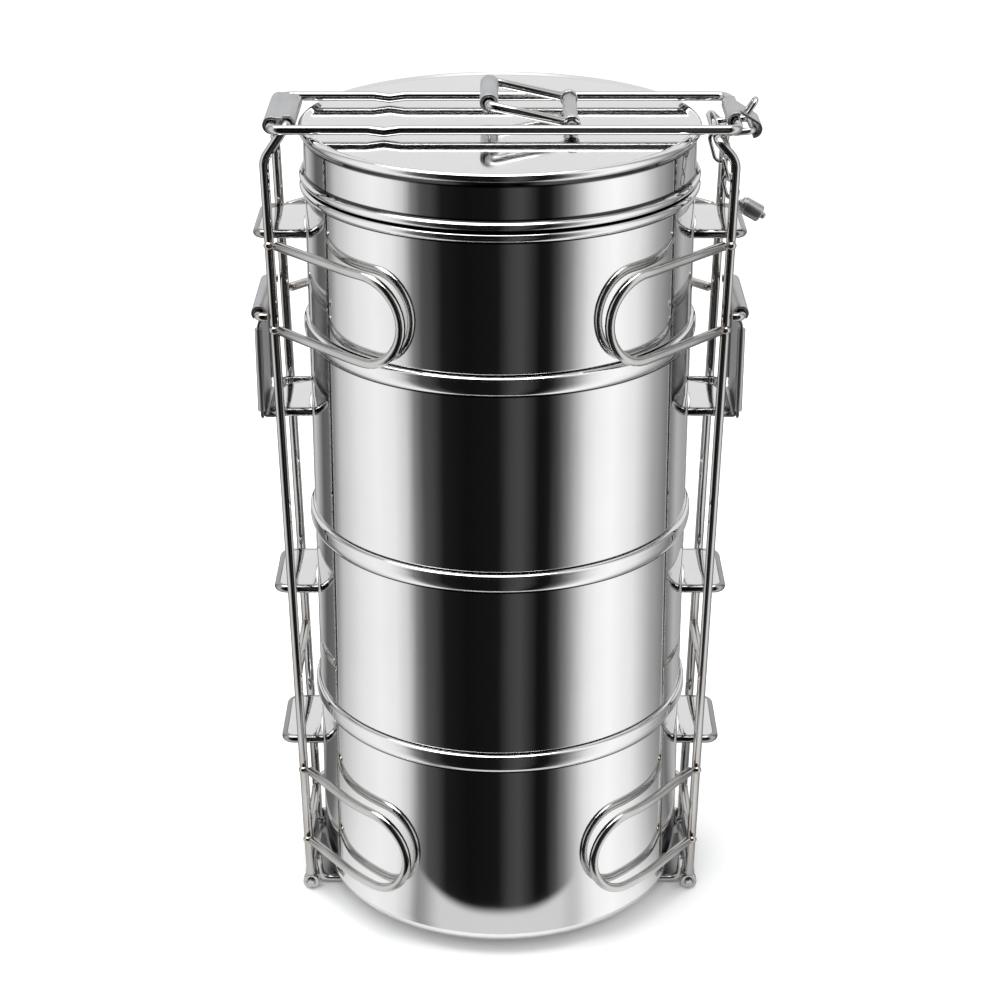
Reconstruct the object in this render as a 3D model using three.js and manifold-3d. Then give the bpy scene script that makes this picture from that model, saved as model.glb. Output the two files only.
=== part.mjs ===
// Four-tier tiffin carrier in a hinged wire frame. Millimetres, +Z up, container axis on Z, base on z = 0.
import * as THREE from "three";
import Module from "manifold-3d";

const wasm = await Module();
wasm.setup();

// ---- driving dimensions ----
const WALL_R = 73.2, RIM_R = 75, SHEET = 0.9, NEST_R = 71.5, MOUTH_R = WALL_R - SHEET;
const RIM_HALF = 3.75, THIN_RIM_HALF = 1.8, NEST_DEPTH = 4, GAP = 0.3;
const RIM_Z = [297.2, 242, 164.3, 88]; // rim centre of tiers 1 to 4, top tier first
const BASE_Z = 3.6, CORNER_R = 9;
const LID_LOW = 299.3, LID_TOP = 320.2, LID_DISH = 0.8;
const WIRE_R = 1.8, LEG_Y = 22.8, LEG_X0 = 78.4, LEG_SLOPE = 0.0245;
const PIN_Z = 3.3, PIN_R = 1.5, EYE_R = 3.2;
const TOP_WIRE_Y = 24.7, TOP_WIRE_Z = 322.5, TOP_LEFT_X = 83.2, TOP_RIGHT_X = 86.4;
const ROLL_R = 2.75, STRIP = 1.1; // rolled strips: radius of the middle of the sheet, and its thickness
// upper bar of each side frame: x, z, and the height where the leg starts to lean in
const CROSS_Y = 20, CROSS = { left: [77.8, 322.5, 311], right: [79.7, 316.9, 310.5] };
const KEEPER_X = 93.4, KEEPER_Z = 318, CURL_R = 2.85, OUTER_HALF = 18.6, INNER_HALF = 16.5;
// holding loops: upper and lower wire height, and the angle where the half turn starts
const LOOPS = {
  upper: [279, 246, { left: 0.885, right: 0.83 }], lower: [57, 24, { left: 0.865, right: 0.865 }],
};
const HUG_R = 77.4;
const MID_BAR_Z = 100, LOW_BAR_Z = 21.5, FLAP_X = 90.5, FLAP_Z = 250.5, FLAP_LOW = 207;
const EAR_Z = [282, 210.3, 135.8, 67.8], EAR_X = [92, 88.5, 89.5, 89], EAR_HALF = 18.5, EAR_T = 1.2;
const HANDLE_X = 26, HANDLE_Z = 323.2, HANDLE_Y = 18.6, GRIP_X = -4, GRIP_Z = 329.8, GRIP_R = 3.45;
const CHAIN_Y = -14.2, CHAIN_DIR = new THREE.Vector3(0.28, 0, -0.96).normalize();
const PIN_DIR = new THREE.Vector3(0.87, 0, -0.493).normalize();
const TURNS = 36, SIDES = 8;

const steel = {
  polished: { color: 0xd4d6d8, roughness: 0.08, metalness: 1 },
  wire: { color: 0xc6c5c2, roughness: 0.14, metalness: 1 },
  satin: { color: 0xb9bbbd, roughness: 0.36, metalness: 1 },
};
const group = new THREE.Group();

function add(name, geometry, finish) {
  const mesh = new THREE.Mesh(geometry, new THREE.MeshStandardMaterial(steel[finish]));
  mesh.name = name;
  group.add(mesh);
}

// ---- solids ----
function solid(geometry) {
  const g = geometry.index ? geometry.toNonIndexed() : geometry;
  const p = g.attributes.position.array, ids = new Map(), verts = [], tris = [];
  for (let i = 0; i < p.length; i += 3) {
    const key = [p[i], p[i + 1], p[i + 2]].map((v) => Math.round(v * 2e4)).join();
    if (!ids.has(key)) {
      ids.set(key, verts.length / 3);
      verts.push(p[i], p[i + 1], p[i + 2]);
    }
    tris.push(ids.get(key));
  }
  const kept = [];
  for (let i = 0; i < tris.length; i += 3) {
    const [a, b, c] = tris.slice(i, i + 3);
    if (a !== b && b !== c && c !== a) kept.push(a, b, c);
  }
  const mesh = new wasm.Mesh({
    numProp: 3, vertProperties: Float32Array.from(verts), triVerts: Uint32Array.from(kept),
  });
  return new wasm.Manifold(mesh);
}

function geometryOf(s) {
  const m = s.getMesh(), g = new THREE.BufferGeometry();
  g.setAttribute("position", new THREE.BufferAttribute(Float32Array.from(m.vertProperties), 3));
  g.setIndex(new THREE.BufferAttribute(Uint32Array.from(m.triVerts), 1));
  g.computeVertexNormals();
  return g;
}

const union = (list) => list.reduce((a, b) => a.add(b));

// Polyline with every inner corner rounded by `fillet`.
function rounded(points, fillet = 3, arcs = 4) {
  const out = [points[0].clone()];
  for (let i = 1; i < points.length - 1; i++) {
    const p = points[i], a = points[i - 1].clone().sub(p), b = points[i + 1].clone().sub(p);
    const reach = Math.min(fillet, a.length() * 0.45, b.length() * 0.45);
    const s = p.clone().addScaledVector(a.normalize(), reach);
    const e = p.clone().addScaledVector(b.normalize(), reach);
    if (a.dot(b) < -0.9995) {
      out.push(p.clone());
      continue;
    }
    const curve = new THREE.QuadraticBezierCurve3(s, p, e);
    for (let k = 0; k <= arcs; k++) out.push(curve.getPoint(k / arcs));
  }
  out.push(points[points.length - 1].clone());
  return out;
}

class Track extends THREE.Curve {
  constructor(points) {
    super();
    this.points = points;
  }
  getSpacedPoints() {
    return this.points;
  }
  getTangentAt(u) {
    const n = this.points.length - 1, i = Math.round(u * n);
    const before = this.points[Math.max(0, i - 1)], here = this.points[i];
    const after = this.points[Math.min(n, i + 1)], t = new THREE.Vector3();
    if (i > 0) t.add(here.clone().sub(before).normalize());
    if (i < n) t.add(after.clone().sub(here).normalize());
    return t.normalize();
  }
}

function disc(r, sides = SIDES) {
  const ring = [];
  for (let i = 0; i < sides; i++) {
    const a = ((i + 0.5) / sides) * Math.PI * 2;
    ring.push(new THREE.Vector2(Math.cos(a) * r, Math.sin(a) * r));
  }
  return new THREE.Shape(ring);
}

function sweep(points, r) {
  return new THREE.ExtrudeGeometry(disc(r), {
    steps: points.length - 1, bevelEnabled: false, extrudePath: new Track(points),
  });
}

const V = (x, y, z) => new THREE.Vector3(x, y, z);
const wire = (points, r = WIRE_R, fillet = 3) => sweep(rounded(points, fillet), r);

// A closed loop of wire, swept as two halves that share their cut faces.
function closedWire(points, r, fillet) {
  const half = Math.floor(points.length / 2);
  const mid = (a, b) => a.clone().lerp(b, 0.5);
  const n = points.length, start = mid(points[n - 1], points[0]);
  const turn = mid(points[half - 1], points[half]);
  const first = solid(wire([start, ...points.slice(0, half), turn], r, fillet));
  const second = solid(wire([turn, ...points.slice(half), start], r, fillet));
  return first.add(second);
}

// Cylinder along Y.
function barrelY(x, z, r, y0, y1, sides = 16) {
  const g = new THREE.CylinderGeometry(r, r, y1 - y0, sides);
  return solid(g.translate(x, (y0 + y1) / 2, z));
}

function block(x0, x1, y0, y1, z0, z1) {
  const g = new THREE.BoxGeometry(x1 - x0, y1 - y0, z1 - z0);
  return solid(g.translate((x0 + x1) / 2, (y0 + y1) / 2, (z0 + z1) / 2));
}

function lathe(profile) {
  const points = profile.map(([r, z]) => new THREE.Vector2(r, z));
  const s = solid(new THREE.LatheGeometry(points, TURNS).rotateX(Math.PI / 2));
  return s.volume() < 0 ? solid(new THREE.LatheGeometry(points.reverse(), TURNS).rotateX(Math.PI / 2)) : s;
}

// Points on an arc in the XZ plane, angles in degrees from +X towards +Z.
function arc(x, z, r, from, to, steps) {
  return Array.from({ length: steps + 1 }, (_, k) => {
    const a = ((from + ((to - from) * k) / steps) * Math.PI) / 180;
    return [x + r * Math.cos(a), z + r * Math.sin(a)];
  });
}

// Sheet of thickness STRIP whose middle follows `path` in the XZ plane, between y0 and y1.
function strip(path, y0, y1) {
  const points = path.map(([x, z]) => new THREE.Vector2(x, z)), n = points.length - 1;
  const side = (h) => points.map((p, i) => {
    const a = points[Math.min(i + 1, n)].clone().sub(points[Math.min(i, n - 1)]).normalize();
    const b = points[Math.max(i, 1)].clone().sub(points[Math.max(i - 1, 0)]).normalize();
    const t = a.clone().add(b).normalize();
    return new THREE.Vector2(p.x - (t.y * h) / t.dot(a), p.y + (t.x * h) / t.dot(a));
  });
  const outline = new THREE.Shape([...side(STRIP / 2), ...side(-STRIP / 2).reverse()]);
  const g = new THREE.ExtrudeGeometry(outline, { depth: y1 - y0, bevelEnabled: false });
  return solid(g.rotateX(Math.PI / 2).translate(0, y1, 0));
}

const legX = (z) => LEG_X0 + LEG_SLOPE * (z - PIN_Z);

// ---- containers ----
function bead(z, half) {
  return [[WALL_R, z - half], [RIM_R - 0.4, z - 0.7 * half], [RIM_R, z],
    [RIM_R - 0.4, z + 0.7 * half], [WALL_R, z + half]];
}

RIM_Z.forEach((rim, i) => {
  const half = i === 0 ? THIN_RIM_HALF : RIM_HALF;
  const last = i === RIM_Z.length - 1;
  const seat = last ? BASE_Z : RIM_Z[i + 1] + RIM_HALF + GAP; // where the outside wall starts
  const profile = [];
  if (last) {
    const c = CORNER_R, k = CORNER_R * 0.293;
    profile.push([0, seat], [WALL_R - c, seat], [WALL_R - k, seat + k], [WALL_R, seat + c]);
    profile.push(...bead(rim, half), [MOUTH_R, rim + half], [MOUTH_R, seat + c]);
    profile.push([MOUTH_R - k, seat + k + 0.6], [WALL_R - c, seat + SHEET], [0, seat + SHEET]);
  } else {
    const low = seat - NEST_DEPTH, in_r = NEST_R - SHEET;
    profile.push([0, low], [NEST_R - 2.5, low], [NEST_R, low + 2.5], [NEST_R, seat], [WALL_R, seat]);
    profile.push(...bead(rim, half), [MOUTH_R, rim + half], [MOUTH_R, seat + SHEET]);
    profile.push([in_r, seat + SHEET], [in_r, low + 2.8], [NEST_R - 2.8, low + SHEET], [0, low + SHEET]);
  }
  add(`tier_${i + 1}`, geometryOf(lathe(profile)), "polished");
});

{
  const top = LID_TOP - SHEET, in_r = NEST_R - 1;
  const profile = [
    [0, LID_TOP - LID_DISH - SHEET], [MOUTH_R, top - LID_DISH], [MOUTH_R, LID_LOW + 4], [in_r, LID_LOW + 2],
    [in_r, LID_LOW - 5], [NEST_R, LID_LOW - 5], [NEST_R, LID_LOW], [WALL_R + 0.2, LID_LOW],
    [RIM_R - 0.4, LID_LOW + 0.6], [RIM_R, LID_LOW + 1.8], [RIM_R - 0.4, LID_LOW + 3], [WALL_R, LID_LOW + 3.6],
    [WALL_R, LID_TOP - 4.4], [RIM_R - 0.4, LID_TOP - 3.6], [RIM_R, LID_TOP - 2],
    [RIM_R - 0.5, LID_TOP - 0.4], [WALL_R, LID_TOP], [RIM_R - 4.5, LID_TOP - LID_DISH],
    [0, LID_TOP - LID_DISH],
  ];
  add("lid", geometryOf(lathe(profile)), "polished");
}

for (const [side, s] of [["left", -1], ["right", 1]]) {
  EAR_Z.forEach((z, i) => {
    const inner = WALL_R + GAP + 0.1, outer = EAR_X[i], c = 4;
    const shape = new THREE.Shape();
    const edge = Math.sqrt(inner * inner - EAR_HALF * EAR_HALF);
    shape.moveTo(edge, -EAR_HALF);
    shape.lineTo(outer - c, -EAR_HALF);
    shape.quadraticCurveTo(outer, -EAR_HALF, outer, -EAR_HALF + c);
    shape.lineTo(outer, EAR_HALF - c);
    shape.quadraticCurveTo(outer, EAR_HALF, outer - c, EAR_HALF);
    shape.lineTo(edge, EAR_HALF);
    for (let k = 1; k < 6; k++) {
      const y = EAR_HALF * (1 - (2 * k) / 6);
      shape.lineTo(Math.sqrt(inner * inner - y * y), y);
    }
    shape.closePath();
    const g = new THREE.ExtrudeGeometry(shape, { depth: EAR_T, bevelEnabled: false, curveSegments: 4 });
    if (s < 0) g.rotateZ(Math.PI);
    add(`ear_${i + 1}_${side}`, g.translate(0, 0, z - EAR_T / 2), "polished");
  });

  // ---- side frame ----
  const left = s < 0, [crossX, crossZ, bendZ] = CROSS[side];
  const leg = wire([
    V(s * legX(5.6), -LEG_Y, 5.6), V(s * legX(bendZ), -LEG_Y, bendZ), V(s * crossX, -CROSS_Y, crossZ),
    V(s * crossX, CROSS_Y, crossZ), V(s * legX(bendZ), LEG_Y, bendZ), V(s * legX(5.6), LEG_Y, 5.6),
  ], WIRE_R, 2.8);
  const eyes = [-1, 1].map((k) => barrelY(s * LEG_X0, PIN_Z, EYE_R, k * LEG_Y - 1.8, k * LEG_Y + 1.8));
  const bore = barrelY(s * LEG_X0, PIN_Z, PIN_R + 0.25, -40, 40, 12);
  add(`side_wire_${side}`, geometryOf(union([solid(leg), ...eyes]).subtract(bore)), "wire");
  add(`hinge_pin_${side}`, geometryOf(barrelY(s * LEG_X0, PIN_Z, PIN_R, -26, 26, 12)), "wire");

  const between = LEG_Y - WIRE_R - GAP;
  for (const [name, z] of [["mid_bar", MID_BAR_Z], ["low_bar", LOW_BAR_Z]]) {
    add(`${name}_${side}`, wire([V(s * legX(z), -between, z), V(s * legX(z), between, z)]), "wire");
  }
  const plateTop = LOW_BAR_Z - WIRE_R - GAP;
  const plate = block(-0.6, 0.6, -between + 1, between - 1, 7.1, plateTop);
  add(`hinge_plate_${side}`, geometryOf(plate.translate([s * (legX(12) + 0.4), 0, 0])), "satin");

  for (const [level, [zTop, zLow, ends]] of Object.entries(LOOPS)) {
    for (const [end, e] of [["front", -1], ["back", 1]]) {
      // plan view, angle measured from the X axis towards the end
      const start = [legX((zTop + zLow) / 2), LEG_Y];
      const reach = Math.hypot(...start), at = Math.atan2(start[1], start[0]) + Math.acos(HUG_R / reach);
      const last = ends[side], r = (zTop - zLow) / 2;
      const plan = (a) => [HUG_R * Math.cos(a), HUG_R * Math.sin(a)];
      const [tx, ty] = plan(at), d = Math.hypot(tx - start[0], ty - start[1]);
      const off = (WIRE_R * 2 + 0.1) / d;
      const flat = [[start[0] + (tx - start[0]) * off, start[1] + (ty - start[1]) * off], [tx, ty]];
      for (let k = 1; k <= 3; k++) flat.push(plan(at + ((last - at) * k) / 3));
      const pts = flat.map(([x, y]) => V(s * x, e * y, zTop));
      for (let k = 1; k <= 7; k++) {
        const t = (k / 8) * Math.PI, [x, y] = plan(last + (r * Math.sin(t)) / HUG_R);
        pts.push(V(s * x, e * y, (zTop + zLow) / 2 + r * Math.cos(t)));
      }
      pts.push(...flat.reverse().map(([x, y]) => V(s * x, e * y, zLow)));
      add(`${level}_loop_${side}_${end}`, sweep(pts, WIRE_R), "wire");
    }
  }

  // ---- side flap on its own bar ----
  const stub = legX(FLAP_Z) + 2 * WIRE_R - 1.2;
  const bar = wire([V(s * stub, -LEG_Y, FLAP_Z), V(s * FLAP_X, -LEG_Y, FLAP_Z),
    V(s * FLAP_X, LEG_Y, FLAP_Z), V(s * stub, LEG_Y, FLAP_Z)], 1.6, 2);
  add(`flap_bar_${side}`, bar, "wire");
  const half = 19, flap = union([
    barrelY(s * FLAP_X, FLAP_Z, 3.1, -half, half),
    block(...(left ? [-FLAP_X - 1, -FLAP_X] : [FLAP_X, FLAP_X + 1]), -half, half, FLAP_LOW, FLAP_Z - 1.5),
    block(...(left ? [-FLAP_X - 1, 6.5 - FLAP_X] : [FLAP_X - 6.5, FLAP_X + 1]), -15, 15,
      FLAP_LOW, FLAP_LOW + 1),
  ]).subtract(barrelY(s * FLAP_X, FLAP_Z, 1.9, -half - 1, half + 1, 12));
  add(`flap_${side}`, geometryOf(flap), "satin");
}

// ---- base under the bottom container ----
{
  const knuckle = (x) => barrelY(x, PIN_Z, 2.9, -17, 17);
  const strap = union([block(-LEG_X0 + 1, LEG_X0 - 1, -17, 17, 0, 1.2),
    knuckle(-LEG_X0), knuckle(LEG_X0)]);
  const bores = union([-1, 1].map((k) => barrelY(k * LEG_X0, PIN_Z, PIN_R + 0.05, -40, 40, 12)));
  add("base_strap", geometryOf(strap.subtract(bores)), "satin");
  for (const [end, y] of [["front", -19.2], ["back", 19.2]]) {
    const route = [V(-75.6, y, 12), V(-74.6, y, 1.8), V(74.6, y, 1.8), V(75.6, y, 12)];
    add(`base_wire_${end}`, wire(route, 1.4, 4), "wire");
  }
}

// ---- top frame, hinge link, hasp, keeper and lock eye ----
{
  const y = TOP_WIRE_Y, z = TOP_WIRE_Z, dip = z - 0.8;
  const side = (k) => [-TOP_LEFT_X, -48, -42, -36, TOP_RIGHT_X].map((x) => V(x, k * y, x === -42 ? dip : z));
  add("top_wire", geometryOf(closedWire([...side(-1), ...side(1).reverse()], WIRE_R, 4)), "wire");

  // two rolls side by side; the inner one is shorter
  const inner = CROSS.left[0], seam = arc(-TOP_LEFT_X, z, ROLL_R, -60, -300, 14);
  const link = strip([...seam, ...arc(-inner, z, ROLL_R, 120, -150, 14)], -OUTER_HALF, OUTER_HALF);
  const between = -(TOP_LEFT_X + inner) / 2;
  const cut = (y0, y1) => block(between, between + 9, y0, y1, z - 9, z + 9);
  const ends = union([cut(-OUTER_HALF - 1, -INNER_HALF), cut(INNER_HALF, OUTER_HALF + 1)]);
  add("hinge_link", geometryOf(link.subtract(ends)), "satin");

  // roll, sloping leaf and a curl that closes over the keeper from outside
  const lean = Math.atan2(KEEPER_Z - z, KEEPER_X - TOP_RIGHT_X) * (180 / Math.PI) + 90;
  const curl = arc(KEEPER_X, KEEPER_Z, CURL_R, lean, -90, 10);
  const path = [...arc(TOP_RIGHT_X, z, ROLL_R, 330, lean, 14), ...curl];
  const narrow = [-1, 1].map((k) => block(TOP_RIGHT_X + 2.2, 100, k * 10.5 - 3.5, k * 10.5 + 3.5, 310, 330));
  add("hasp", geometryOf(strip(path, -13, 13).subtract(union(narrow))), "satin");

  // keeper: a wire loop on the right frame's upper bar
  const [barX, barZ] = CROSS.right, foot = barX + WIRE_R + GAP + 0.1;
  const arm = (k) => [V(foot, k * 9, barZ), V(KEEPER_X, k * 9, KEEPER_Z)];
  add("keeper_loop", wire([...arm(-1), ...arm(1).reverse()], 1.3, 2.5), "wire");

  // lock eye: stands on the hasp's leaf
  const n = V(Math.cos((lean * Math.PI) / 180), 0, Math.sin((lean * Math.PI) / 180));
  const onLeaf = V((TOP_RIGHT_X + KEEPER_X) / 2, 0, (z + KEEPER_Z) / 2).addScaledVector(n, ROLL_R + STRIP);
  const stand = (k) => [0.3, 5].map((h) => onLeaf.clone().addScaledVector(n, h).setY(k * 2.6));
  add("lock_eye", wire([...stand(-1), ...stand(1).reverse()], 0.9, 2), "wire");
}

// ---- carry handle ----
{
  const reach = TOP_WIRE_Y - WIRE_R - GAP;
  const rod = solid(wire([V(HANDLE_X, -reach, HANDLE_Z), V(HANDLE_X, reach, HANDLE_Z)], 1.7));
  const spacer = barrelY(HANDLE_X, HANDLE_Z, 2.7, -15.5, 15.5); // keeps the two eyes of the bail apart
  add("handle_rod", geometryOf(rod.add(spacer)), "satin");
  const arm = (k) => [V(HANDLE_X - 2.4, k * HANDLE_Y, HANDLE_Z + 0.5), V(GRIP_X, k * HANDLE_Y, GRIP_Z)];
  const bail = solid(wire([...arm(-1), ...arm(1).reverse()], WIRE_R, 3));
  const eyes = [-1, 1].map((k) => barrelY(HANDLE_X, HANDLE_Z, 3.3, k * HANDLE_Y - 1.7, k * HANDLE_Y + 1.7));
  const bore = barrelY(HANDLE_X, HANDLE_Z, 1.95, -40, 40, 12);
  add("handle_bail", geometryOf(union([bail, ...eyes]).subtract(bore)), "wire");
  const sleeve = barrelY(GRIP_X, GRIP_Z, GRIP_R, -15, 15, 20);
  const hollow = barrelY(GRIP_X, GRIP_Z, 2.1, -20, 20, 12);
  add("handle_grip", geometryOf(sleeve.subtract(hollow)), "satin");
}

// ---- chain and lock pin ----
{
  const origin = V(CROSS.right[0], CHAIN_Y, CROSS.right[1]), across = V(0, 1, 0);
  const normal = new THREE.Vector3().crossVectors(CHAIN_DIR, across).normalize();
  const link = (name, centre, length, width, axis, r) => {
    const c = origin.clone().addScaledVector(CHAIN_DIR, centre), w = width / 2, l = (length - width) / 2;
    const at = (a, b) => c.clone().addScaledVector(CHAIN_DIR, a).addScaledVector(axis, b);
    const pts = [];
    for (const end of [1, -1]) {
      for (let k = 0; k <= 4; k++) {
        const t = ((k / 4) * Math.PI) - Math.PI / 2;
        pts.push(at(end * (l + w * Math.cos(t)), end * w * Math.sin(t)));
      }
    }
    const n = pts.length, mid = pts[0].clone().lerp(pts[n - 1], 0.5), far = pts[4].clone().lerp(pts[5], 0.5);
    const halves = [[mid, ...pts.slice(0, 5), far], [far, ...pts.slice(5), mid]];
    add(name, geometryOf(union(halves.map((half) => solid(sweep(half, r))))), "wire");
  };
  link("chain_link_1", 3.35, 12, 6, normal, 0.7);
  link("chain_link_2", 12.1, 9, 4.4, across, 0.7);
  link("chain_link_3", 19.3, 9, 4.4, normal, 0.7);

  // the ring hangs in the last link; the body lies along PIN_DIR from the ring's centre
  const profile = [[0, 2], [1.3, 2], [1.3, 3.2], [2.8, 3.2], [2.8, 4.2], [3.3, 4.2], [3.3, 11.4], [1.3, 11.4],
    [1.3, 12.8], [0.8, 13.4], [0, 13.4]];
  const centre = origin.clone().addScaledVector(CHAIN_DIR, 24.4);
  const lay = (g, along) => {
    const side = new THREE.Vector3().crossVectors(along, across);
    return solid(g.applyMatrix4(new THREE.Matrix4().makeBasis(side, along, across).setPosition(centre)));
  };
  const body = new THREE.LatheGeometry(profile.map(([r, z]) => new THREE.Vector2(r, z)), 16);
  const ring = new THREE.TorusGeometry(2.3, 0.75, 8, 14).rotateY(Math.PI / 2);
  add("lock_pin", geometryOf(lay(ring, CHAIN_DIR).add(lay(body, PIN_DIR))), "satin");
}

export default group;
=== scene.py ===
# %% [markdown]
# A four-tier tiffin carrier: round steel containers stacked under a lid and held by a hinged wire frame.
# The engineering model is loaded first and stays fixed. Every visible piece below is made in its place,
# in the same frame and at the same size, and rides on the same moving body.

# %% Load the engineering model
import math

import bmesh
import bpy
from mathutils import Matrix, Vector


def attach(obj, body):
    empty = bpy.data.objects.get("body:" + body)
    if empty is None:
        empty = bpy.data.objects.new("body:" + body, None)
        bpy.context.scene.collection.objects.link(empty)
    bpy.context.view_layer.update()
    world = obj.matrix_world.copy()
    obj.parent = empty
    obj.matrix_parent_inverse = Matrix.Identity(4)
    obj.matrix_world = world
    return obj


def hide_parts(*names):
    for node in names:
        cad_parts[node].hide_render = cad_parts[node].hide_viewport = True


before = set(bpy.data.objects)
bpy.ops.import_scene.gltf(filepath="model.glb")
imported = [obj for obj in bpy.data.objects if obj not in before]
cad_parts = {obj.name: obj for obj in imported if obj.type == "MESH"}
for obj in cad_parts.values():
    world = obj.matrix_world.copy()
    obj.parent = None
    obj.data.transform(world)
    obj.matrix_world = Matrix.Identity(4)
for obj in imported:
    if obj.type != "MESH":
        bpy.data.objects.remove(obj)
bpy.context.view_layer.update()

scene = bpy.context.scene
MM = 0.001

# %% [markdown]
# The camera comes first, because every judgement about shape and light is made through it. It stands about
# a metre away and looks down on the carrier at an angle of 24 degrees with a long lens, so the containers
# show full round rims and the upright wires lean together only a little.

# %% Camera
EYE = (0.0, -862.4, 546.2)
LOOK_DOWN = 23.81
LENS_PER_WIDTH = 2.374
SENSOR = 36.0

lens = bpy.data.cameras.new("camera")
lens.sensor_width = SENSOR
lens.lens = LENS_PER_WIDTH * SENSOR
lens.clip_end = 50
camera = bpy.data.objects.new("camera", lens)
camera.location = Vector(EYE) * MM
camera.rotation_euler = (math.radians(90 - LOOK_DOWN), 0, 0)
scene.collection.objects.link(camera)
scene.camera = camera
print("lens", round(lens.lens, 1), "mm")

# %% [markdown]
# The sizes that drive the carrier, in millimetres. They are the same ones that the engineering model is
# built from.

# %% Driving sizes
WALL_R, RIM_R, SHEET, NEST_R = 73.2, 75.0, 0.9, 71.5
MOUTH_R = WALL_R - SHEET
RIM_HALF, THIN_RIM_HALF, NEST_DEPTH, GAP = 3.75, 1.8, 4.0, 0.3
RIM_Z = (297.2, 242.0, 164.3, 88.0)
BASE_Z, CORNER_R = 3.6, 9.0
LID_LOW, LID_TOP, LID_DISH = 299.3, 320.2, 0.8
WIRE_R, LEG_Y, LEG_X0, LEG_SLOPE = 1.8, 22.8, 78.4, 0.0245
PIN_Z, PIN_R, EYE_R = 3.3, 1.5, 3.2
TOP_WIRE_Y, TOP_WIRE_Z, TOP_LEFT_X, TOP_RIGHT_X = 24.7, 322.5, 83.2, 86.4
ROLL_R, STRIP, OUTER_HALF, INNER_HALF = 2.75, 1.1, 18.6, 16.5
CROSS_Y, CROSS = 20.0, {"left": (77.8, 322.5, 311.0), "right": (79.7, 316.9, 310.5)}
KEEPER_X, KEEPER_Z, CURL_R = 93.4, 318.0, 2.85
LOOPS = {"upper": (279.0, 246.0, {"left": 0.885, "right": 0.83}),
         "lower": (57.0, 24.0, {"left": 0.865, "right": 0.865})}
HUG_R, MID_BAR_Z, LOW_BAR_Z = 77.4, 100.0, 21.5
FLAP_X, FLAP_Z, FLAP_LOW = 90.5, 250.5, 207.0
EAR_Z, EAR_X, EAR_HALF = (282.0, 210.3, 135.8, 67.8), (92.0, 88.5, 89.5, 89.0), 18.5
HANDLE_X, HANDLE_Z, HANDLE_Y = 26.0, 323.2, 18.6
GRIP_X, GRIP_Z = -4.0, 329.8
BAR_HALF, FOOT_Z, LOOP_ENDS = 20.7, 5.6, (279, 246, 57, 24)
FLAP_HALF, FLAP_TAB, FLAP_EYE = 19, 15, 2.5
STRAP_HALF, BASE_WIRE_Y, BASE_WIRE_R, BASE_WIRE_Z = 17, 19.2, 1.4, 1.8
KEEPER_HALF, KEEPER_R, HASP_HALF = 9, 1.3, 13
ROD_R, SPACER_R, SPACER_HALF, BAIL_EYE, SLEEVE_R = 1.7, 2.7, 15.5, 3.3, 2.85
CHAIN_Y, CHAIN_R, PIN_DROP = -14.2, 0.7, 24.4
SIDES = {"left": -1, "right": 1}


def leg_x(z):
    """Distance of a leg's centre from the middle of the carrier at height z."""
    return LEG_X0 + LEG_SLOPE * (z - PIN_Z)


# %% [markdown]
# Shader maths reads best when it is written like ordinary maths. The class below wraps one socket of a node
# tree, so that 0.1 + mask * 0.2 adds the two Math nodes by itself. A finish is one material, and its only
# way to make a node is a method that takes the node's type, its settings and what goes into it.

# %% Shader maths
class Shade:
    """One output socket, which can be added, subtracted, multiplied and divided."""

    def __init__(self, finish, socket):
        self.finish, self.socket = finish, socket

    def reckon(self, operation, first, second):
        return self.finish.node("ShaderNodeMath", {"operation": operation}, {0: first, 1: second})

    def __add__(self, other):
        return self.reckon("ADD", self, other)

    def __sub__(self, other):
        return self.reckon("SUBTRACT", self, other)

    def __rsub__(self, other):
        return self.reckon("SUBTRACT", other, self)

    def __mul__(self, other):
        return self.reckon("MULTIPLY", self, other)

    def __truediv__(self, other):
        return self.reckon("DIVIDE", self, other)

    __radd__, __rmul__ = __add__, __mul__


class Finish:
    """A material, or the world, whose nodes are made one call at a time."""

    def __init__(self, name, owner=None):
        self.owner = owner or bpy.data.materials.new(name)
        self.owner.use_nodes = True
        self.tree = self.owner.node_tree
        self.tree.nodes.clear()

    def node(self, kind, settings=None, inputs=None, out=0):
        made = self.tree.nodes.new(kind)
        for key, value in (settings or {}).items():
            if key == "stops":
                ramp = made.color_ramp
                while len(ramp.elements) < len(value):
                    ramp.elements.new(1.0)
                for element, (place, colour) in zip(ramp.elements, value):
                    element.position = place
                    element.color = (*colour, 1.0)
            else:
                setattr(made, key, value)
        for key, value in (inputs or {}).items():
            if isinstance(value, Shade):
                self.tree.links.new(value.socket, made.inputs[key])
            else:
                made.inputs[key].default_value = value
        return Shade(self, made.outputs[out])

    def place(self, scale=(1, 1, 1), turn=(0, 0, 0)):
        """Object coordinates in metres, stretched so that a pattern can run along the piece."""
        spot = self.node("ShaderNodeTexCoord", out="Object")
        return self.node("ShaderNodeMapping", {}, {"Vector": spot, "Scale": scale, "Rotation": turn})

    def noise(self, scale, detail=2.0, rough=0.5):
        """Smooth random patches: scale is how many there are in a metre along X, Y and Z."""
        return self.node("ShaderNodeTexNoise", {}, {
            "Vector": self.place(scale), "Scale": 1.0, "Detail": detail, "Roughness": rough}, out=0)

    def blend(self, amount, first, second):
        """A colour that goes from first to second as amount goes from 0 to 1."""
        return self.node("ShaderNodeMix", {"data_type": "RGBA"}, {0: amount, 6: first, 7: second}, out=2)

    def done(self, shader, place="ShaderNodeOutputMaterial"):
        end = self.tree.nodes.new(place)
        self.tree.links.new(shader.socket, end.inputs["Surface"])
        return self.owner
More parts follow.
